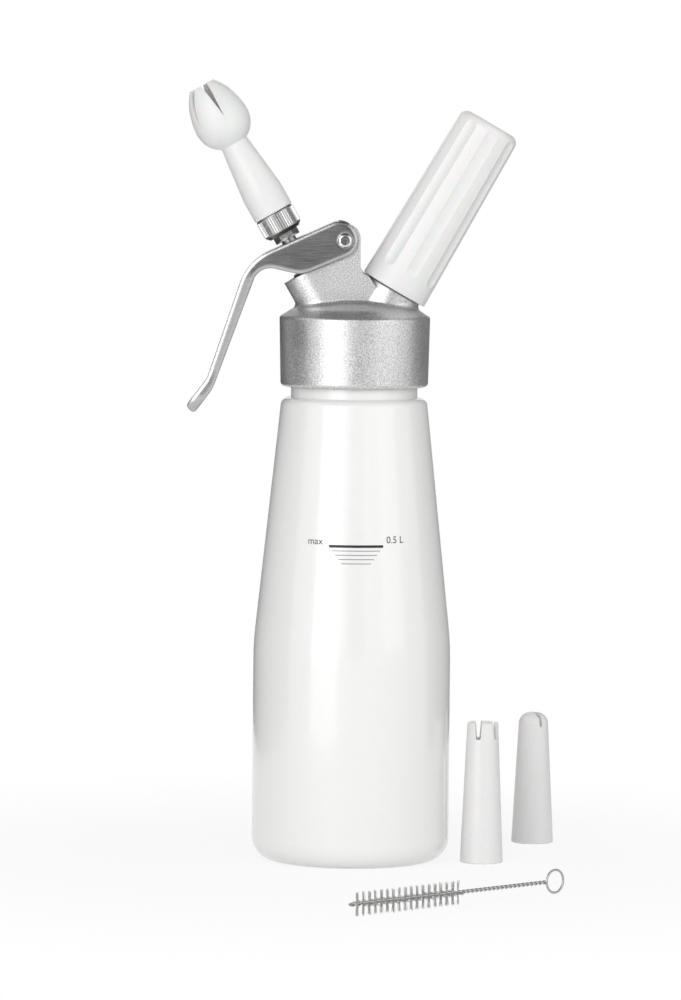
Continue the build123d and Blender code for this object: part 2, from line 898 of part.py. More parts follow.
holder_rim = charger_boss_top + 3 * seat_gap
holder_end = charger_end + 3 * seat_gap + holder_cap
holder_length = holder_end - holder_rim
insert_radius = charger_spigot_radius + seat_gap
insert_outer = insert_radius + insert_thickness
insert_low = holder_rim + insert_recess
insert_high = insert_low + insert_length
holder_bore = charger_radius + charger_play
holder_taper = atan2(holder_rim_radius - holder_top_radius, holder_length)
with BuildPart() as charger_holder:
    turned(
        charger_side, charger_axis,
        [
            (insert_outer + snug, holder_rim),
            (holder_rim_radius, holder_rim),
            (holder_top_radius, holder_end),
            (0, holder_end),
            (0, charger_end + 3 * seat_gap),
            (holder_bore, charger_end + 3 * seat_gap),
            (holder_bore, insert_high + snug),
            (insert_outer + snug, insert_high + snug),
        ],
        radii=[0, holder_rim_round, holder_corner, 0, 0, charger_end_round, 0, 0],
    )
    # Long round-ended flutes for the fingers, cut by rods that follow the taper
    flute_end_reach = sqrt(flute_radius**2 - (flute_radius - flute_depth) ** 2)
    flute_low = holder_rim + flute_start + flute_end_reach - flute_radius
    flute_length = holder_length - flute_start - flute_end_margin
    flute_rod = flute_length + 2 * (flute_radius - flute_end_reach)
    flute_surface = holder_rim_radius - flute_start * tan(holder_taper)
    for flute in range(flute_count):
        out = spoke(charger_cross, flute * 360 / flute_count + flute_turn)
        rod_start = out.from_local_coords(
            (0, flute_low, flute_surface + flute_radius - flute_depth)
        )
        lean_in = out.y_dir * cos(holder_taper) - out.z_dir * sin(holder_taper)
        rod = Plane(rod_start, x_dir=out.x_dir, z_dir=out.x_dir.cross(lean_in))
        with BuildSketch(rod):
            with BuildLine():
                FilletPolyline(
                    (0, 0), (flute_radius, 0), (flute_radius, flute_rod), (0, flute_rod),
                    radius=[0, flute_radius - snug, flute_radius - snug, 0], close=True,
                )
            make_face()
        revolve(axis=Axis(rod_start, rod.y_dir), mode=Mode.SUBTRACT)
finish(charger_holder, "charger_holder")

with BuildPart() as holder_insert:
    ring(charger_side, charger_axis, insert_radius, insert_outer, insert_low, insert_high)
finish(holder_insert, "holder_insert")

# --------------------------------------------------------------------- spare nozzles
def standing(place):
    """Section plane, cross plane and axis of a piece that stands on its base."""
    foot = (*place, 0)
    return Plane(foot, z_dir=(0, -1, 0), x_dir=(1, 0, 0)), Plane(foot), Axis(foot, (0, 0, 1))


def notch(cross, angle, low, high, low_width, high_width, reach):
    """Cut one slot through the wall of a nozzle, from a depth up past its mouth."""
    with BuildSketch(spoke(cross, angle)) as slot:
        with BuildLine():
            Polyline(
                (-low_width / 2, low), (low_width / 2, low),
                (high_width / 2, high), (-high_width / 2, high),
                close=True,
            )
        make_face()
    extrude(slot.sketch, amount=reach, mode=Mode.SUBTRACT)


crown_section, crown_cross, crown_axis = standing(crown_place)
with BuildPart() as crown_nozzle:
    turned(
        crown_section, crown_axis,
        [
            (socket_radius, 0),
            (spare_base_radius, 0),
            (crown_top_radius, crown_height),
            (crown_top_radius - nozzle_wall, crown_height),
            (crown_top_radius - nozzle_wall, spare_socket_depth + spare_socket_lead),
            (socket_radius, spare_socket_depth),
        ],
        radii=[0, edge_round, edge_round, edge_round, 0, 0],
    )
    for tooth in range(crown_teeth):
        notch(
            crown_cross, tooth * 360 / crown_teeth + crown_turn,
            crown_height - crown_slot_depth, crown_height + slot_overrun,
            crown_slot_foot, crown_slot_width, spare_base_radius,
        )
finish(crown_nozzle, "crown_nozzle")

star_section, star_cross, star_axis = standing(star_place)
with BuildPart() as star_nozzle:
    turned(
        star_section, star_axis,
        [
            (socket_radius, 0),
            (spare_base_radius, 0),
            (star_top_radius, star_height),
            (0, star_height),
            (0, star_height - nozzle_wall),
            (star_top_radius - nozzle_wall, star_height - nozzle_wall),
            (star_top_radius - nozzle_wall, spare_socket_depth + spare_socket_lead),
            (socket_radius, spare_socket_depth),
        ],
        radii=[0, edge_round, star_dome_round, 0, 0, star_dome_round - nozzle_wall, 0, 0],
    )
    for slot in range(star_slots):
        notch(
            star_cross, slot * 360 / star_slots + star_turn,
            star_height - star_slot_depth, star_height + slot_overrun,
            star_slot_foot, star_slot_width, spare_base_radius,
        )
finish(star_nozzle, "star_nozzle")

# --------------------------------------------------------------------- cleaning brush
# The brush lies level on its bristles or its loop, whichever reaches further down
turn = radians(brush_turn)
brush_rise = max(brush_loop_radius + loop_wire_radius, bristle_radius)
brush_cross = Plane(
    (*brush_tip, brush_rise), x_dir=(sin(turn), -cos(turn), 0), z_dir=(cos(turn), sin(turn), 0)
)

with BuildPart() as brush_wire:
    with BuildSketch(brush_cross):
        Circle(brush_wire_radius)
    extrude(amount=brush_length - brush_loop_radius)
    loop_centre = brush_cross.from_local_coords((0, 0, brush_length))
    with Locations(Plane(loop_centre, z_dir=brush_cross.x_dir)):
        Torus(brush_loop_radius, loop_wire_radius)
finish(brush_wire, "brush_wire")

with BuildPart() as brush_bristles:
    with BuildSketch(brush_cross.offset(bristle_start)):
        Circle(bristle_radius)
        Circle(brush_wire_radius + bristle_core_gap, mode=Mode.SUBTRACT)
    extrude(amount=bristle_length)
finish(brush_bristles, "brush_bristles")
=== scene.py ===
# %% [markdown]
# # A whipped cream dispenser with its nozzles and brush
#
# The shape of every rigid piece is already made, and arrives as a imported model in
# metres.  This lesson gives the pieces their finishes, adds what is too fine for a solid
# model, such as knurling, bristles and printing, and then sets up a pale floor, soft
# light and a camera.
#
# The loaded pieces are never moved or reshaped.  What is added takes its place, and most
# of its sizes, from them.

# %% Load the pieces
import json
import math

import bpy
import numpy as np
from mathutils import Matrix, Vector


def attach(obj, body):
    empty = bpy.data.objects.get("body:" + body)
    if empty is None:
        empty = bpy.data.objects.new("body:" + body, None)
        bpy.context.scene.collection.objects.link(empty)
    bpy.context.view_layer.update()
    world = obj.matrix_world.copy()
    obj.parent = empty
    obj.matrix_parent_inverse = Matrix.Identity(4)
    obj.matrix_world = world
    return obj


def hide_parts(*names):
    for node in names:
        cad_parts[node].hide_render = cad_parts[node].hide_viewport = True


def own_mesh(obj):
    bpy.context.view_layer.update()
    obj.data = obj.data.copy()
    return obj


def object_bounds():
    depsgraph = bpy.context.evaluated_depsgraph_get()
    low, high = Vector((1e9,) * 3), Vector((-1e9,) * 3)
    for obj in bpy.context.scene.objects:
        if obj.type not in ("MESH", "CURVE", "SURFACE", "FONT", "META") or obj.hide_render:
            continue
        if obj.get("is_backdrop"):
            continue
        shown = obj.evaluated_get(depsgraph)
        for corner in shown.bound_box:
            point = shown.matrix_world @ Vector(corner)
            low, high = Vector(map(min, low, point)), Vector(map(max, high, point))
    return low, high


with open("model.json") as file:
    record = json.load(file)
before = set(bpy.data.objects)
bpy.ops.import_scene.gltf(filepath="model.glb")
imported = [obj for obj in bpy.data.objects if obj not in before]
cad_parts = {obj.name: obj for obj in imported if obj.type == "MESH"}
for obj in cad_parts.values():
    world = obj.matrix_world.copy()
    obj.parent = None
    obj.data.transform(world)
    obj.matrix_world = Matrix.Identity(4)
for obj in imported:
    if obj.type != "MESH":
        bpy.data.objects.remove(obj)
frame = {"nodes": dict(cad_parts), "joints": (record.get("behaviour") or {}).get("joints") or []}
nodes = frame["nodes"]
joints = {joint["name"]: joint for joint in frame["joints"]}
cad_low, cad_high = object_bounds()
MM = 0.001
print("pieces", len(nodes), "height in mm", round(cad_high.z / MM, 1))

# %% [markdown]
# ## Where things are
#
# The two bosses lean away from the bottle, and most small pieces turn about one of
# those leaning axes.  The joints already say where the axes run, so they are read from
# there.  A matrix whose Z is such an axis lets each added piece be made upright at the
# origin and then put in its place in one step.

# %% Axes and measuring
def upright(origin, direction):
    """The place of a piece that was made upright at the origin, put on an axis."""
    turn = Vector(direction).to_track_quat("Z", "Y").to_matrix().to_4x4()
    return Matrix.Translation(origin) @ turn


def points(name):
    """All corners of a loaded piece, one row each."""
    mesh = nodes[name].data
    rows = np.empty(len(mesh.vertices) * 3)
    mesh.vertices.foreach_get("co", rows)
    return rows.reshape(-1, 3)


def along_and_out(name, place):
    """Each corner's distance along an axis and its radius about it."""
    inverse = np.array(place.inverted())
    local = points(name) @ inverse[:3, :3].T + inverse[:3, 3]
    return local[:, 2], np.hypot(local[:, 0], local[:, 1])


crossing = Vector(joints["holder_unscrew"]["pos_m"])
valve_place = upright(crossing, -Vector(joints["valve_travel"]["axis"]))
valve_lean = math.asin(joints["valve_travel"]["axis"][0])
print("boss axes cross at", [round(c / MM, 1) for c in crossing], "mm, leaning",
      round(math.degrees(valve_lean), 1), "degrees")

# %% [markdown]
# ## Helpers for colours and nodes
#
# Colours are picked as the hex values that a screen shows, but a shader works in linear
# light, so one function turns the first into the second.
#
# Every node tree below, for a material or for a shape, is built with one function that
# adds a node, sets its properties and fills or links its inputs.

# %% Colour and node helpers
def linear(hex_colour):
    """A screen colour such as 'F2F2F0' as linear red, green, blue and alpha."""
    screen = [int(hex_colour[i:i + 2], 16) / 255 for i in (0, 2, 4)]
    return [c / 12.92 if c <= 0.04045 else ((c + 0.055) / 1.055) ** 2.4 for c in screen] + [1]


def add_node(tree, kind, inputs=None, **settings):
    """Add a node, set its properties, then fill or link its inputs by name or number."""
    node = tree.nodes.new(kind)
    for name, value in settings.items():
        setattr(node, name, value)
    for key, value in (inputs or {}).items():
        if isinstance(value, bpy.types.NodeSocket):
            tree.links.new(value, node.inputs[key])
        else:
            node.inputs[key].default_value = value
    return node

# %% [markdown]
# ## What every finish shares
#
# A fine noise gives tiny dents and specks, and a wide one makes the gloss a little uneven,
# as handling does.  Real edges are never sharp, so a bevel inside the material rounds how
# they catch the light.

# %% Start a material and give it grain
def start_material(name, colour, metallic, roughness, **constants):
    """A material whose steady values sit on the shader itself."""
    print("material", name, "colour", colour)
    material = bpy.data.materials.new(name)
    material.use_nodes = True
    tree = material.node_tree
    shader = tree.nodes["Principled BSDF"]
    shader.inputs["Base Color"].default_value = linear(colour)
    shader.inputs["Metallic"].default_value = metallic
    shader.inputs["Roughness"].default_value = roughness
    for key, value in constants.items():
        shader.inputs[key.replace("_", " ").title().replace("Ior", "IOR")].default_value = value
    return material, tree, shader


HANDLED_PATCHES = 60.0        # to the metre, so each patch is about 17 mm wide
NOISE_RANGE = (0.36, 0.64)    # holds most of one noise's values
PRODUCT_RANGE = (0.12, 0.4)   # holds most of two noises' values multiplied


def add_grain(tree, shader, size, depth, roughness, tint=None, stretch=(1, 1, 1), edge=0.3):
    """Give a finish its texture, and soften its edges.

    size, depth and edge are in millimetres.  A stretch below 1 draws the grain out that way.
    """
    where = add_node(tree, "ShaderNodeTexCoord")
    mapped = add_node(tree, "ShaderNodeMapping",
                      {"Vector": where.outputs["Object"], "Scale": stretch})
    grain = add_node(tree, "ShaderNodeTexNoise",
                     {"Vector": mapped.outputs[0], "Scale": 1 / (size * MM), "Detail": 3.0})
    handled = add_node(tree, "ShaderNodeTexNoise",
                       {"Vector": where.outputs["Object"], "Scale": HANDLED_PATCHES, "Detail": 4.0})
    both = add_node(tree, "ShaderNodeMath", {0: grain.outputs[0], 1: handled.outputs[0]},
                    operation="MULTIPLY")
    rough = add_node(tree, "ShaderNodeMapRange",
                     {"Value": both.outputs[0],
                      "From Min": PRODUCT_RANGE[0], "From Max": PRODUCT_RANGE[1],
                      "To Min": roughness[0], "To Max": roughness[1]})
    soft_edge = add_node(tree, "ShaderNodeBevel", {"Radius": edge * MM}, samples=12)
    bump = add_node(tree, "ShaderNodeBump",
                    {"Height": grain.outputs[0], "Distance": depth * MM, "Strength": 1.0,
                     "Normal": soft_edge.outputs[0]})
    tree.links.new(rough.outputs[0], shader.inputs["Roughness"])
    tree.links.new(bump.outputs[0], shader.inputs["Normal"])
    if tint:
        spread = add_node(tree, "ShaderNodeMapRange",
                          {"Value": grain.outputs[0],
                           "From Min": NOISE_RANGE[0], "From Max": NOISE_RANGE[1]})
        shade = add_node(tree, "ShaderNodeMix", {"Factor": spread.outputs[0]}, data_type="RGBA")
        shade.inputs[6].default_value = linear(tint[0])
        shade.inputs[7].default_value = linear(tint[1])
        tree.links.new(shade.outputs[2], shader.inputs["Base Color"])

# %% [markdown]
# ## Lacquer on the bottle
#
# The bottle is drawn aluminium, sprayed white and baked.  Baked lacquer is smooth and
# glossy, with a very slight waviness that painters call orange peel.  A white dielectric
# with a clear coat gives the sharp reflection, and a shallow wide bump gives the wave.

# %% Baked white lacquer
lacquer, tree, shader = start_material("baked_white_lacquer", "F0F0EF", 0.0, 0.2,
                                       coat_weight=0.4, coat_roughness=0.05)
add_grain(tree, shader, size=2.6, depth=0.002, roughness=(0.16, 0.22), tint=("EFEFEE", "F0F0EF"))

# %% [markdown]
# ## Silver coat on the casting
#
# The head is die cast and sand blasted, then coated silver, which leaves a fine even
# grit.  The grit catches light as tiny bright and dark specks.  Real grit is about
# 0.2 mm; it is drawn at 0.5 mm, as coarse as it needs to be to show.

# %% Sand blasted silver coat
silver, tree, shader = start_material("blasted_silver_coat", "CCCCCC", 0.85, 0.4)
add_grain(tree, shader, size=0.5, depth=0.06, roughness=(0.3, 0.46), tint=("B2B2B2", "E6E6E6"),
          edge=1.4)

# %% [markdown]
# ## Steels
#
# The lever is pressed from stainless sheet and brushed, so its scratches run one way.
# Stretching the noise along X, 25 times, draws them as faint level lines.  Its folds are
# wide and round, which a soft edge of 2.4 mm in the finish shows.
#
# Screws and the ridges of the knurl are machined and left bright.  Parts turned on a lathe
# are duller and keep faint rings.  Stretching the noise along X and Y gives level rings,
# near enough on pieces as small as these.
#
# Zinc plating on the gas charger is greyer, a little blue and cloudy.  Wire is drawn
# through a die, which leaves it smooth and softly shining.

# %% Brushed, bright and turned steel
brushed, tree, shader = start_material("brushed_stainless_sheet", "BCBCBC", 1.0, 0.3)
add_grain(tree, shader, size=0.3, depth=0.003, roughness=(0.16, 0.22), tint=("B7B7B7", "C2C2C2"),
          stretch=(0.04, 1, 1), edge=2.4)

bright, tree, shader = start_material("machined_bright_steel", "DCDCDC", 1.0, 0.16)
add_grain(tree, shader, size=0.5, depth=0.004, roughness=(0.1, 0.22), edge=0.06)

turned, tree, shader = start_material("turned_stainless_steel", "A4A4A2", 1.0, 0.3)
add_grain(tree, shader, size=0.35, depth=0.01, roughness=(0.24, 0.36), stretch=(0.05, 0.05, 1))

zinc, tree, shader = start_material("zinc_plated_steel", "A4A6AA", 1.0, 0.34)
add_grain(tree, shader, size=1.2, depth=0.01, roughness=(0.26, 0.42), tint=("989BA0", "B0B2B6"))

wire_steel, tree, shader = start_material("drawn_steel_wire", "B4B4B2", 1.0, 0.24)
add_grain(tree, shader, size=0.4, depth=0.004, roughness=(0.18, 0.3), edge=0.05)

# %% [markdown]
# ## Plastics and rubber
#
# The nozzles and the holder are moulded polypropylene: white, a little waxy, and faintly
# see-through at its thin edges, which a small share of light under the surface gives.
# Silicone seals are softer to the eye and matt.  The bristles are clear nylon, which lets
# some light through.  Screen ink is a thin flat film, matt beside the lacquer.

# %% Polypropylene, silicone, nylon and ink
moulded, tree, shader = start_material("moulded_white_polypropylene", "E9E9E8", 0.0, 0.4, ior=1.49,
                                       subsurface_weight=0.3, subsurface_scale=0.003)
add_grain(tree, shader, size=0.5, depth=0.006, roughness=(0.34, 0.46), tint=("E7E7E6", "EBEBEA"))

silicone, tree, shader = start_material("matt_silicone", "DCDCD6", 0.0, 0.6, ior=1.41,
                                        subsurface_weight=0.2, subsurface_scale=0.001)
add_grain(tree, shader, size=0.6, depth=0.008, roughness=(0.54, 0.68))

nylon, tree, shader = start_material("clear_nylon_filament", "F0F0EE", 0.0, 0.35, ior=1.53,
                                     transmission_weight=0.4)
add_grain(tree, shader, size=0.8, depth=0.002, roughness=(0.3, 0.42), tint=("ECECE9", "F4F4F2"))

ink, tree, shader = start_material("black_screen_ink", "1C1C1C", 0.0, 0.5)
add_grain(tree, shader, size=0.3, depth=0.003, roughness=(0.44, 0.58))

grey_ink, tree, shader = start_material("grey_screen_ink", "8C8C8C", 0.0, 0.5)
add_grain(tree, shader, size=0.3, depth=0.003, roughness=(0.44, 0.58))

# %% [markdown]
# Each loaded piece is given its finish here.  The list is by finish, as a workshop would
# sort the pieces before coating them, and a count shows that none was forgotten.

# %% Give every piece its finish
finishes = {
    lacquer: ["bottle"],
    silver: ["head_body"],
    brushed: ["lever"],
    bright: ["pivot_screw", "pivot_nut"],
    turned: ["nozzle_adapter", "valve_stem", "seal_retainer", "valve_nut", "lock_washer",
             "lock_nut", "spring_seat", "piercing_pin", "pin_retainer", "holder_insert"],
    zinc: ["gas_charger"],
    wire_steel: ["valve_spring", "brush_wire"],
    moulded: ["tulip_nozzle", "charger_holder", "crown_nozzle", "star_nozzle"],
    silicone: ["head_gasket", "valve_seal", "stem_ring", "adapter_ring", "check_valve", "charger_seal"],
    nylon: ["brush_bristles"],
}
for material, names in finishes.items():
    for name in names:
        for place in nodes[name].material_slots:
            place.material = material
coated = {name for names in finishes.values() for name in names}
print("finished", len(coated), "of", len(nodes), "left over", sorted(set(nodes) - coated))

# %% [markdown]
# ## Growing what repeats
#
# Ridges and bristles are the same small shape many times over, and a coil follows a rule,
# so each is made by a Geometry Nodes tree with named sizes.  The tree's result is then kept
# as a plain mesh in its place on the object, and the modifier is gone.

# %% Keep a tree's result as a plain piece
def start_tree(name, sizes):
    """An empty shape tree with named inputs, given as name: socket kind."""
    tree = bpy.data.node_groups.new(name, "GeometryNodeTree")
    for size, kind in sizes.items():
        tree.interface.new_socket(size, in_out="INPUT", socket_type=kind)
    tree.interface.new_socket("Material", in_out="INPUT", socket_type="NodeSocketMaterial")
    tree.interface.new_socket("Shape", in_out="OUTPUT", socket_type="NodeSocketGeometry")
    return tree, add_node(tree, "NodeGroupInput").outputs


def end_tree(tree, shape, given):
    """Make the copies real and coat them."""
    real = add_node(tree, "GeometryNodeRealizeInstances", {"Geometry": shape})
    coated = add_node(tree, "GeometryNodeSetMaterial",
                      {"Geometry": real.outputs[0], "Material": given["Material"]})
    add_node(tree, "NodeGroupOutput", {0: coated.outputs[0]})


def grow(name, tree, sizes, place, body):
    """Run a tree with its sizes and keep the result, riding on a body."""
    source = bpy.data.objects.new(name + "_source", bpy.data.meshes.new(name + "_source"))
    bpy.context.scene.collection.objects.link(source)
    modifier = source.modifiers.new("grow", "NODES")
    modifier.node_group = tree
    for item in tree.interface.items_tree:
        if item.in_out == "INPUT":
            modifier[item.identifier] = sizes[item.name]
    bpy.context.view_layer.update()
    evaluated = source.evaluated_get(bpy.context.evaluated_depsgraph_get())
    mesh = bpy.data.meshes.new_from_object(evaluated)
    bpy.data.objects.remove(source)
    mesh.transform(place)
    mesh.name = name
    return keep(name, mesh, body)


def keep(name, mesh, body):
    """Put a finished mesh in the scene as a piece of its body."""
    piece = bpy.data.objects.new(name, mesh)
    bpy.context.scene.collection.objects.link(piece)
    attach(piece, body)
    print(name, "faces", len(mesh.polygons))
    return piece

# %% [markdown]
# ## The knurled ring
#
# Fingers turn the nozzle's adapter by its ring of fine straight ridges.  The ridges are
# square bars set round a circle with one edge out, each sunk so that only the edge
# shows.  The ring's radius and length are measured from the adapter.

# %% Knurl ridges
tree, given = start_tree("knurl", {"Ridges": "NodeSocketInt", "Ring Radius": "NodeSocketFloat",
                                   "Ridge Radius": "NodeSocketFloat", "Length": "NodeSocketFloat"})
circle = add_node(tree, "GeometryNodeMeshCircle",
                  {"Vertices": given["Ridges"], "Radius": given["Ring Radius"]})
bar = add_node(tree, "GeometryNodeMeshCylinder",
               {"Vertices": 4, "Radius": given["Ridge Radius"], "Depth": given["Length"]})
index = add_node(tree, "GeometryNodeInputIndex")
share = add_node(tree, "ShaderNodeMath", {0: index.outputs[0], 1: given["Ridges"]}, operation="DIVIDE")
angle = add_node(tree, "ShaderNodeMath", {0: share.outputs[0], 1: math.tau}, operation="MULTIPLY")
facing = add_node(tree, "ShaderNodeCombineXYZ", {"Z": angle.outputs[0]})
bars = add_node(tree, "GeometryNodeInstanceOnPoints",
                {"Points": circle.outputs[0], "Instance": bar.outputs[0], "Rotation": facing.outputs[0]})
end_tree(tree, bars.outputs[0], given)

stations, radii = along_and_out("nozzle_adapter", valve_place)
ring_radius = radii.max()
on_ring = stations[radii > ring_radius - 0.05 * MM]
ring_low, ring_high = on_ring.min(), on_ring.max()
ridge_count = 48
ridge_radius = 0.42 * MM
ridge_sunk = 0.15 * MM
ridge_end_gap = 0.5 * MM
grow("knurl_ridges", tree,
     {"Ridges": ridge_count, "Ring Radius": ring_radius - ridge_sunk, "Ridge Radius": ridge_radius,
      "Length": ring_high - ring_low - 2 * ridge_end_gap, "Material": bright},
     valve_place @ Matrix.Translation((0, 0, (ring_low + ring_high) / 2)), "valve")
print("ring radius in mm", round(ring_radius / MM, 2), "length", round((ring_high - ring_low) / MM, 2))

# %% [markdown]
# ## Coils: a thread, a spring and a twisted wire
#
# A thread's ridge, a spring and a twisted wire are all a tube that follows a helix, so one
# tree makes all three.  Points on a straight line are moved out and round by their number,
# and a circle is swept along them.

# %% A tube along a helix
coiled_tube, given = start_tree("coiled_tube", {
    "Points": "NodeSocketInt", "Turns": "NodeSocketFloat", "Coil Radius": "NodeSocketFloat",
    "Tube Radius": "NodeSocketFloat", "Length": "NodeSocketFloat", "Start Turn": "NodeSocketFloat",
})
line = add_node(coiled_tube, "GeometryNodeMeshLine", {"Count": given["Points"]})
index = add_node(coiled_tube, "GeometryNodeInputIndex")
share = add_node(coiled_tube, "ShaderNodeMath", {0: index.outputs[0], 1: given["Points"]},
                 operation="DIVIDE")
turns = add_node(coiled_tube, "ShaderNodeMath",
                 {0: share.outputs[0], 1: given["Turns"], 2: given["Start Turn"]},
                 operation="MULTIPLY_ADD")
angle = add_node(coiled_tube, "ShaderNodeMath", {0: turns.outputs[0], 1: math.tau},
                 operation="MULTIPLY")
cosine = add_node(coiled_tube, "ShaderNodeMath", {0: angle.outputs[0]}, operation="COSINE")
sine = add_node(coiled_tube, "ShaderNodeMath", {0: angle.outputs[0]}, operation="SINE")
x = add_node(coiled_tube, "ShaderNodeMath", {0: cosine.outputs[0], 1: given["Coil Radius"]},
             operation="MULTIPLY")
y = add_node(coiled_tube, "ShaderNodeMath", {0: sine.outputs[0], 1: given["Coil Radius"]},
             operation="MULTIPLY")
z = add_node(coiled_tube, "ShaderNodeMath", {0: share.outputs[0], 1: given["Length"]},
             operation="MULTIPLY")
spot = add_node(coiled_tube, "ShaderNodeCombineXYZ",
                {"X": x.outputs[0], "Y": y.outputs[0], "Z": z.outputs[0]})
helix = add_node(coiled_tube, "GeometryNodeSetPosition",
                 {"Geometry": line.outputs[0], "Position": spot.outputs[0]})
path = add_node(coiled_tube, "GeometryNodeMeshToCurve", {"Mesh": helix.outputs[0]})
round_wire = add_node(coiled_tube, "GeometryNodeCurvePrimitiveCircle",
                      {"Resolution": 8, "Radius": given["Tube Radius"]})
tube = add_node(coiled_tube, "GeometryNodeCurveToMesh",
                {"Curve": path.outputs[0], "Profile Curve": round_wire.outputs[0], "Fill Caps": True})
end_tree(coiled_tube, tube.outputs[0], given)

# %% [markdown]
# The bottle's thread shows when the head is off.  Its ridge is half sunk in the neck and
# stays inside the collar's bore.  Its pitch is the head's lift in one turn, and the neck's
# radius is measured just below the lip.

# %% Thread on the bottle's neck
head_turns = joints["head_unscrew"]["range_deg"][1] / 360
pitch = joints["head_rise"]["range_m"][1] / head_turns
heights, radii = along_and_out("bottle", Matrix.Identity(4))
lip = heights.max()
neck_radius = radii[heights > lip - 2 * MM].max()
thread_turns = 2.6
thread_radius = 0.42 * MM
gap_below_lip = 1.6 * MM
thread_height = thread_turns * pitch
grow("neck_thread", coiled_tube,
     {"Points": 240, "Turns": thread_turns, "Coil Radius": neck_radius, "Tube Radius": thread_radius,
      "Length": thread_height, "Start Turn": 0.0, "Material": lacquer},
     Matrix.Translation((0, 0, lip - gap_below_lip - thread_height)), "bottle")
print("neck radius in mm", round(neck_radius / MM, 2), "pitch", round(pitch / MM, 2))

# %% [markdown]
# The return spring is pressed together as the lever pushes the valve in.  A coil takes
# the place of the rigid one.

# %% Return spring
stations, radii = along_and_out("valve_spring", valve_place)
spring_wire = (radii.max() - radii.min()) / 2
spring_foot, spring_head = stations.min() + spring_wire, stations.max() - spring_wire
spring_turns = 5.5
spring = grow("return_spring", coiled_tube,
              {"Points": 260, "Turns": spring_turns, "Coil Radius": (radii.max() + radii.min()) / 2,
               "Tube Radius": spring_wire, "Length": spring_head - spring_foot, "Start Turn": 0.0,
               "Material": wire_steel},
              valve_place @ Matrix.Translation((0, 0, spring_foot)), "head")
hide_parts("valve_spring")
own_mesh(spring)

# %% [markdown]
# ## The brush
#
# A cleaning brush is one long wire folded in two and twisted, with bristles caught in
# the twist and the fold left open as a loop.  Its axis is found from the bristles' own
# solid: the direction in which its corners spread furthest.
#
# The twist is longer among the bristles than in the handle.  The loop is one turn of the
# same coiled tube, with no length.

# %% Find the brush's axis
cloud = points("brush_bristles")
middle = cloud.mean(axis=0)
spread = np.linalg.svd(cloud - middle, full_matrices=False)[2][0]
towards_loop = points("brush_wire").mean(axis=0) - middle
if spread @ towards_loop < 0:
    spread = -spread
brush_place = upright(Vector(middle), Vector(spread))
wire_stations, _ = along_and_out("brush_wire", brush_place)
bristle_stations, bristle_radii = along_and_out("brush_bristles", brush_place)
brush_start = wire_stations.min()
loop_end = wire_stations.max()
bristle_reach = bristle_radii.max()
bristle_low, bristle_high = bristle_stations.min(), bristle_stations.max()
print("brush from", round(brush_start / MM, 1), "to", round(loop_end / MM, 1),
      "mm, bristles", round(bristle_reach / MM, 2), "mm long")

# %% Twisted wire with its loop
loop_wire = 0.45 * MM
loop_points = 96
strand = 0.42 * MM
strand_points = 320
bristle_pitch = 6.0 * MM
handle_pitch = 4.4 * MM
inverse = np.array(brush_place.inverted())
local = points("brush_wire") @ inverse[:3, :3].T + inverse[:3, 3]
loop_width = np.abs(local[local[:, 2] > loop_end - 6 * MM][:, :2]).max(axis=0)
loop_radius = loop_width.max() - loop_wire
loop_centre = loop_end - loop_width.max()
handle_end = loop_centre - loop_radius
turns_so_far = 0.0
for stretch_name, low, high, pitch_here in (
    ("bristle", brush_start, bristle_high, bristle_pitch),
    ("handle", bristle_high, handle_end, handle_pitch),
):
    turns_here = (high - low) / pitch_here
    for side in (0, 1):
        grow(f"brush_{stretch_name}_strand_{side}", coiled_tube,
             {"Points": strand_points, "Turns": turns_here, "Coil Radius": strand,
              "Tube Radius": strand, "Length": high - low,
              "Start Turn": side / 2 + turns_so_far, "Material": wire_steel},
             brush_place @ Matrix.Translation((0, 0, low)), "brush")
    turns_so_far += turns_here
flat_axis = Vector((1, 0, 0)) if loop_width[0] < loop_width[1] else Vector((0, 1, 0))
loop_place = brush_place @ upright(Vector((0, 0, loop_centre)), flat_axis)
loop = grow("brush_loop", coiled_tube,
            {"Points": loop_points, "Turns": loop_points / (loop_points - 1),
             "Coil Radius": loop_radius, "Tube Radius": loop_wire,
             "Length": 0.0, "Start Turn": 0.0, "Material": wire_steel},
            loop_place, "brush")
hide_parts("brush_wire")
print("loop radius in mm", round(loop_radius / MM, 2))

# %% [markdown]
# Bristles are a thousand and more thin tapered threads, so each has only three sides.
# They sit in the twist of the wire and stand out on both its sides, so they wind round the
# brush with it.  The twist gathers them into tufts, a quarter turn apart, and each tuft
# draws together towards its tip, so from the side it shows as a spike.

# %% Bristles
tree, given = start_tree("bristles", {
    "Count": "NodeSocketInt", "Tufts": "NodeSocketFloat", "Length": "NodeSocketFloat",
    "Reach": "NodeSocketFloat", "Root Radius": "NodeSocketFloat", "Tip Radius": "NodeSocketFloat",
})
step = add_node(tree, "ShaderNodeMath", {0: given["Length"], 1: given["Count"]}, operation="DIVIDE")
offset = add_node(tree, "ShaderNodeCombineXYZ", {"Z": step.outputs[0]})
line = add_node(tree, "GeometryNodeMeshLine", {"Count": given["Count"], "Offset": offset.outputs[0]})
thread = add_node(tree, "GeometryNodeMeshCone",
                  {"Vertices": 3, "Radius Bottom": given["Root Radius"],
                   "Radius Top": given["Tip Radius"], "Depth": given["Reach"]})

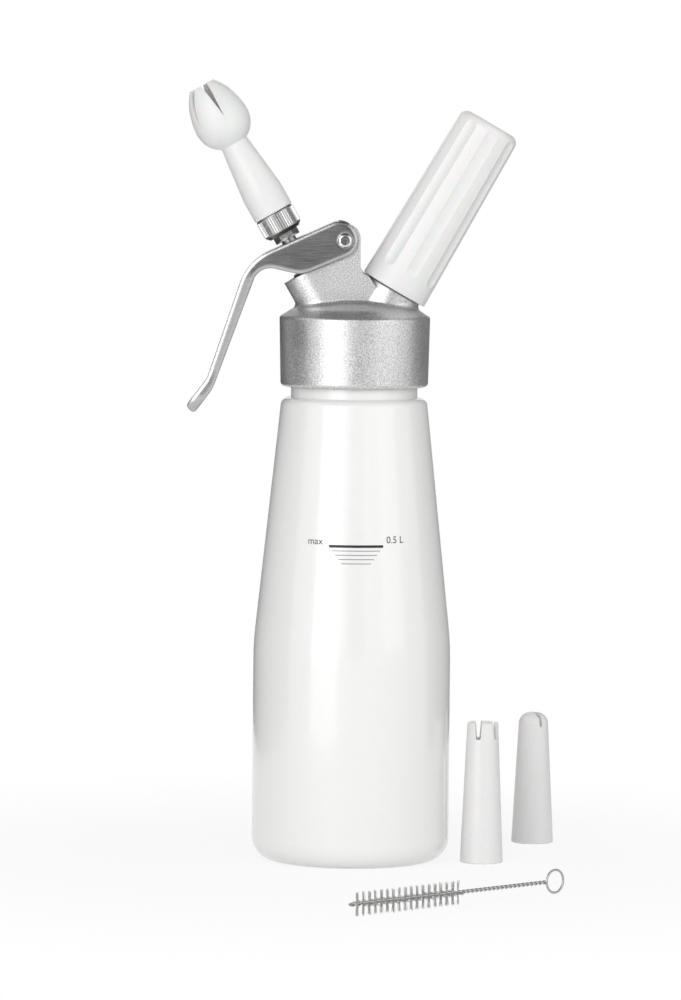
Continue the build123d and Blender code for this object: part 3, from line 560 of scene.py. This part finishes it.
# Round the wire: a quarter turn for each tuft, half a turn for the other side, and a stray
index = add_node(tree, "GeometryNodeInputIndex")
share = add_node(tree, "ShaderNodeMath", {0: index.outputs[0], 1: given["Count"]}, operation="DIVIDE")
tufts = add_node(tree, "ShaderNodeMath", {0: share.outputs[0], 1: given["Tufts"]}, operation="MULTIPLY")
tuft = add_node(tree, "ShaderNodeMath", {0: tufts.outputs[0]}, operation="FLOOR")
quarter = add_node(tree, "ShaderNodeMath", {0: tuft.outputs[0], 1: 0.25}, operation="MULTIPLY")
other_side = add_node(tree, "ShaderNodeMath", {0: index.outputs[0], 1: 0.5}, operation="MULTIPLY")
both = add_node(tree, "ShaderNodeMath", {0: quarter.outputs[0], 1: other_side.outputs[0]},
                operation="ADD")
angle = add_node(tree, "ShaderNodeMath", {0: both.outputs[0], 1: math.tau}, operation="MULTIPLY")
stray = add_node(tree, "FunctionNodeRandomValue", {2: -0.2, 3: 0.2, "Seed": 4}, data_type="FLOAT")
strayed = add_node(tree, "ShaderNodeMath", {0: angle.outputs[0], 1: stray.outputs[1]},
                   operation="ADD")

# Along the wire: each thread leans towards the middle of its tuft
in_tuft = add_node(tree, "ShaderNodeMath", {0: tufts.outputs[0]}, operation="FRACT")
inward = add_node(tree, "ShaderNodeMapRange",
                  {"Value": in_tuft.outputs[0], "To Min": -0.13, "To Max": 0.13})
tip = add_node(tree, "FunctionNodeRandomValue", {2: 1.53, 3: 1.61, "Seed": 9}, data_type="FLOAT")
drawn = add_node(tree, "ShaderNodeMath", {0: tip.outputs[1], 1: inward.outputs[0]}, operation="ADD")
facing = add_node(tree, "ShaderNodeCombineXYZ", {"X": drawn.outputs[0], "Z": strayed.outputs[0]})
short = add_node(tree, "FunctionNodeRandomValue", {2: 0.8, 3: 0.98, "Seed": 2}, data_type="FLOAT")
threads = add_node(tree, "GeometryNodeInstanceOnPoints",
                   {"Points": line.outputs[0], "Instance": thread.outputs[0],
                    "Rotation": facing.outputs[0], "Scale": short.outputs[1]})
end_tree(tree, threads.outputs[0], given)

# %% Grow the bristles in the wire
tufts_per_twist = 4
bristles = grow("nylon_bristles", tree,
                {"Count": 1200, "Tufts": tufts_per_twist * (bristle_high - bristle_low) / bristle_pitch,
                 "Length": bristle_high - bristle_low, "Reach": bristle_reach,
                 "Root Radius": 0.08 * MM, "Tip Radius": 0.06 * MM, "Material": nylon},
                brush_place @ Matrix.Translation((0, 0, bristle_low)), "brush")
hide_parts("brush_bristles")

# %% [markdown]
# ## The fill mark
#
# A heavy line shows how far to fill, with thinner and shorter lines below it and two
# plain words beside it.  Printing has no thickness to speak of.  Flat strips and letters
# are made first, then each corner is laid on the bottle by casting a ray at it, with a
# hair's breadth to spare so that ink and lacquer don't fight for the same place.

# %% Lay flat printing on the bottle
INK_RISE = 0.05 * MM
CLEAR_OF_BOTTLE = 200 * MM


def print_on_bottle(mesh):
    """Move flat corners, whose x runs round and whose z runs up, onto the bottle."""
    for corner in mesh.vertices:
        x, z = corner.co.x, corner.co.z
        front = Vector((0, -CLEAR_OF_BOTTLE, z))
        radius = abs(nodes["bottle"].ray_cast(front, Vector((0, 1, 0)))[1].y)
        angle = x / radius
        outward = Vector((math.sin(angle), -math.cos(angle), 0))
        start = outward * CLEAR_OF_BOTTLE + Vector((0, 0, z))
        hit = nodes["bottle"].ray_cast(start, -outward)[1]
        corner.co = hit + outward * INK_RISE
    mesh.update()

# %% Fill lines
tree, given = start_tree("fill_lines", {
    "Lines": "NodeSocketInt", "Gap": "NodeSocketFloat", "Width": "NodeSocketFloat",
    "Shortening": "NodeSocketFloat", "Thickness": "NodeSocketFloat",
})
drop = add_node(tree, "ShaderNodeMath", {0: given["Gap"], 1: -1.0}, operation="MULTIPLY")
offset = add_node(tree, "ShaderNodeCombineXYZ", {"Z": drop.outputs[0]})
line = add_node(tree, "GeometryNodeMeshLine", {"Count": given["Lines"], "Offset": offset.outputs[0]})
strip = add_node(tree, "GeometryNodeMeshGrid",
                 {"Size X": given["Width"], "Size Y": given["Thickness"],
                  "Vertices X": 25, "Vertices Y": 2})
stood = add_node(tree, "GeometryNodeTransform",
                 {"Geometry": strip.outputs[0], "Rotation": (math.pi / 2, 0, 0)})
index = add_node(tree, "GeometryNodeInputIndex")
less = add_node(tree, "ShaderNodeMath", {0: index.outputs[0], 1: given["Shortening"]},
                operation="MULTIPLY")
length = add_node(tree, "ShaderNodeMath", {0: 1.0, 1: less.outputs[0]}, operation="SUBTRACT")
size = add_node(tree, "ShaderNodeCombineXYZ", {"X": length.outputs[0], "Y": 1.0, "Z": 1.0})
strips = add_node(tree, "GeometryNodeInstanceOnPoints",
                  {"Points": line.outputs[0], "Instance": stood.outputs[0], "Scale": size.outputs[0]})
end_tree(tree, strips.outputs[0], given)

fill_height = 126.8 * MM
mark_middle = 1.3 * MM
for name, sizes, drop_to in (
    ("fill_line_full", {"Lines": 1, "Gap": 0.0, "Width": 21.4 * MM, "Shortening": 0.0,
                        "Thickness": 1.0 * MM, "Material": ink}, 0.0),
    ("fill_lines_fine", {"Lines": 4, "Gap": 1.65 * MM, "Width": 19.0 * MM, "Shortening": 0.13,
                         "Thickness": 0.32 * MM, "Material": grey_ink}, 1.75 * MM),
):
    place = Matrix.Translation((mark_middle, 0, fill_height - drop_to))
    lines = grow(name, tree, sizes, place, "bottle")
    print_on_bottle(lines.data)

# %% [markdown]
# The two words only say what the line means.  Text is made a mesh before it is placed.

# %% Words beside the line
def print_word(name, words, left, height):
    """A short word in plain letters, laid on the bottle."""
    curve = bpy.data.curves.new(name, "FONT")
    curve.body = words
    curve.size = 3.8 * MM
    text = bpy.data.objects.new(name + "_text", curve)
    bpy.context.scene.collection.objects.link(text)
    bpy.context.view_layer.update()
    evaluated = text.evaluated_get(bpy.context.evaluated_depsgraph_get())
    mesh = bpy.data.meshes.new_from_object(evaluated)
    bpy.data.objects.remove(text)
    mesh.transform(Matrix.Translation((left, 0, height)) @ Matrix.Rotation(math.pi / 2, 4, "X"))
    mesh.materials.clear()
    mesh.materials.append(ink)
    print_on_bottle(mesh)
    return keep(name, mesh, "bottle")


print_word("word_max", "max", -18.4 * MM, fill_height + 0.6 * MM)
print_word("word_half_litre", "0.5 L", 13.3 * MM, fill_height + 1.2 * MM)

# %% [markdown]
# ## Floor, light and camera
#
# The set stands on a pale floor in soft studio light.  The floor and the world look
# white to the camera and in reflections, but light the object only gently, so that pale
# pieces keep their shading.  Near the object the floor takes a soft shadow, and further
# away it fades into the white of the world, so that no edge of it shows.

# %% World
world = bpy.data.worlds.new("studio")
bpy.context.scene.world = world
world.use_nodes = True
tree = world.node_tree
backdrop = tree.nodes["Background"]
ray = add_node(tree, "ShaderNodeLightPath")
seen = add_node(tree, "ShaderNodeMath",
                {0: ray.outputs["Is Camera Ray"], 1: ray.outputs["Is Glossy Ray"]}, operation="MAXIMUM")
white = add_node(tree, "ShaderNodeMath",
                 {0: seen.outputs[0], 1: ray.outputs["Is Transmission Ray"]}, operation="MAXIMUM")
lit_strength = 0.6
strength = add_node(tree, "ShaderNodeMapRange",
                    {"Value": white.outputs[0], "To Min": lit_strength, "To Max": 1.0})
backdrop.inputs["Color"].default_value = linear("FFFFFF")
tree.links.new(strength.outputs[0], backdrop.inputs["Strength"])
print("world lights at", lit_strength, "and is seen at 1")

# %% Floor
floor_mesh = bpy.data.meshes.new("floor")
half_width = 60.0
corners = [(-half_width, -half_width, 0), (half_width, -half_width, 0),
           (half_width, half_width, 0), (-half_width, half_width, 0)]
floor_mesh.from_pydata(corners, [], [(0, 1, 2, 3)])
floor = bpy.data.objects.new("floor", floor_mesh)
bpy.context.scene.collection.objects.link(floor)
floor_paint, tree, shader = start_material("pale_studio_floor", "F4F4F4", 0.0, 0.9)
ray = add_node(tree, "ShaderNodeLightPath")
seen = add_node(tree, "ShaderNodeMath",
                {0: ray.outputs["Is Camera Ray"], 1: ray.outputs["Is Glossy Ray"]}, operation="MAXIMUM")
where = add_node(tree, "ShaderNodeTexCoord")
away = add_node(tree, "ShaderNodeVectorMath", {0: where.outputs["Object"]}, operation="LENGTH")
fade_starts, fade_ends = 0.08, 0.32
fade = add_node(tree, "ShaderNodeMapRange",
                {"Value": away.outputs["Value"], "From Min": fade_starts, "From Max": fade_ends,
                 "To Min": 0.85, "To Max": 1.0},
                interpolation_type="SMOOTHSTEP")
share = add_node(tree, "ShaderNodeMath", {0: seen.outputs[0], 1: fade.outputs[0]},
                 operation="MULTIPLY")
glow = add_node(tree, "ShaderNodeEmission", {"Color": linear("FFFFFF"), "Strength": 1.0})
mixed = add_node(tree, "ShaderNodeMixShader",
                 {0: share.outputs[0], 1: shader.outputs[0], 2: glow.outputs[0]})
tree.links.new(mixed.outputs[0], tree.nodes["Material Output"].inputs["Surface"])
floor_mesh.materials.append(floor_paint)
floor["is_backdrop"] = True

# %% [markdown]
# Big soft lamps light the set: one at the front left, one in front and a weaker one at the
# right.  What lights a glossy piece and what it mirrors can be set apart, so the bright
# upright highlight has two windows of its own, which are mirrored but light nothing.  The
# tall one stands far off.  The foot of the bottle would mirror the floor in its place, so a
# low window close by carries the highlight on.
#
# Metal shows what stands about it, so in an all white room it looks like grey paint.
# Photographers put dark cards round it, and so does this scene: one at each side towards
# the back, one above and one behind the camera.  Only reflections see them.

# %% Soft lamps
def aim_at_bottle(thing, place):
    """Put a lamp at a place and turn it to the middle of the bottle."""
    aim = Vector((0, 0, cad_high.z / 2)) - Vector(place)
    thing.location = place
    thing.rotation_euler = aim.to_track_quat("-Z", "Y").to_euler()


def soft_lamp(name, place, width, height, power, lights=True, mirrored=True):
    """A soft lamp with a square-cornered window, that lights, is mirrored, or both."""
    lamp = bpy.data.lights.new(name, "AREA")
    lamp.shape = "RECTANGLE"
    lamp.size, lamp.size_y = width, height
    lamp.energy = power
    light = bpy.data.objects.new(name, lamp)
    bpy.context.scene.collection.objects.link(light)
    light.visible_camera = False
    light.visible_diffuse = lights
    light.visible_glossy = mirrored
    aim_at_bottle(light, place)
    print("lamp", name, power, "W, lights" if lights else "W, only mirrored")


soft_lamp("bright_window", (-0.82, -1.34, 0.62), 0.92, 1.2, 9.5, lights=False)
soft_lamp("low_window", (-0.209, -0.341, 0.066), 0.216, 0.115, 0.11, lights=False)
soft_lamp("front_left", (-0.52, -1.54, 0.62), 0.7, 1.2, 7.5, mirrored=False)
soft_lamp("right", (1.2, -1.0, 0.6), 0.8, 1.1, 2.2)
soft_lamp("front", (0.1, -1.6, 0.7), 0.8, 0.8, 3.8, mirrored=False)

# %% Dark cards
def upright_card(side, distance, width, height=1.5):
    """Corners of a standing card at an angle round the bottle from the camera."""
    angle = math.radians(side)
    foot = Vector((math.sin(angle), -math.cos(angle), 0)) * distance
    across = Vector((math.cos(angle), math.sin(angle), 0)) * width / 2
    top = Vector((0, 0, height))
    return [foot - across, foot + across, foot + across + top, foot - across + top]


def dark_card(name, corners, tone):
    """A card of an even tone that only reflections see."""
    paint, tree, _ = start_material("card_" + tone, tone, 0.0, 0.9)
    glow = add_node(tree, "ShaderNodeEmission", {"Color": linear(tone), "Strength": 1.0})
    tree.links.new(glow.outputs[0], tree.nodes["Material Output"].inputs["Surface"])
    mesh = bpy.data.meshes.new(name)
    mesh.from_pydata(corners, [], [(0, 1, 2, 3)])
    mesh.materials.append(paint)
    card = bpy.data.objects.new(name, mesh)
    bpy.context.scene.collection.objects.link(card)
    card.visible_camera = False
    card.visible_diffuse = False
    card.visible_shadow = False
    card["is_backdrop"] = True


dark_card("card_left", upright_card(-121, 0.4, 0.8, 0.42), "505050")
dark_card("card_right", upright_card(130, 0.4, 0.57), "7C7C7C")
dark_card("card_behind_camera", upright_card(4.5, 2.6, 0.96), "606060")
dark_card("card_above",
          [(-0.6, -1.1, 1.15), (0.6, -1.1, 1.15), (0.6, 1.2, 1.0), (-0.6, 1.2, 1.0)], "505050")

# %% [markdown]
# The camera is a long way off with a long lens, level with the dispenser's top, and looks
# slightly down.  It is turned about its own view by half a degree, which leans the
# dispenser a touch to the right.

# %% Camera
frame_height = 1000
pixels_per_mm = 2.532
distance = 2.339
camera_height = 0.308
aim_point = Vector((-0.005, 0, 0.1425))
roll = math.radians(0.526)
camera_data = bpy.data.cameras.new("camera")
camera_data.sensor_fit = "VERTICAL"
camera_data.sensor_height = 36
camera = bpy.data.objects.new("camera", camera_data)
bpy.context.scene.collection.objects.link(camera)
camera.location = Vector((aim_point.x, -distance, camera_height))
line_of_sight = aim_point - camera.location
metres_to_pixels = pixels_per_mm / MM
camera_data.lens = (camera_data.sensor_height * metres_to_pixels * line_of_sight.length
                    / frame_height)
look = line_of_sight.to_track_quat("-Z", "Y")
camera.rotation_euler = (look.to_matrix() @ Matrix.Rotation(roll, 3, "Z")).to_euler()
bpy.context.scene.camera = camera
bpy.context.scene.view_settings.view_transform = "Standard"
print("lens in mm", round(camera_data.lens, 1))

# %% [markdown]
# The dressed set is measured once more, to see how far what was added reaches past the
# loaded pieces.

# %% Compare sizes and finish
low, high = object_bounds()
print("grew by mm", [round((b - a) / MM, 2) for a, b in zip(cad_low, low)],
      [round((b - a) / MM, 2) for a, b in zip(cad_high, high)])
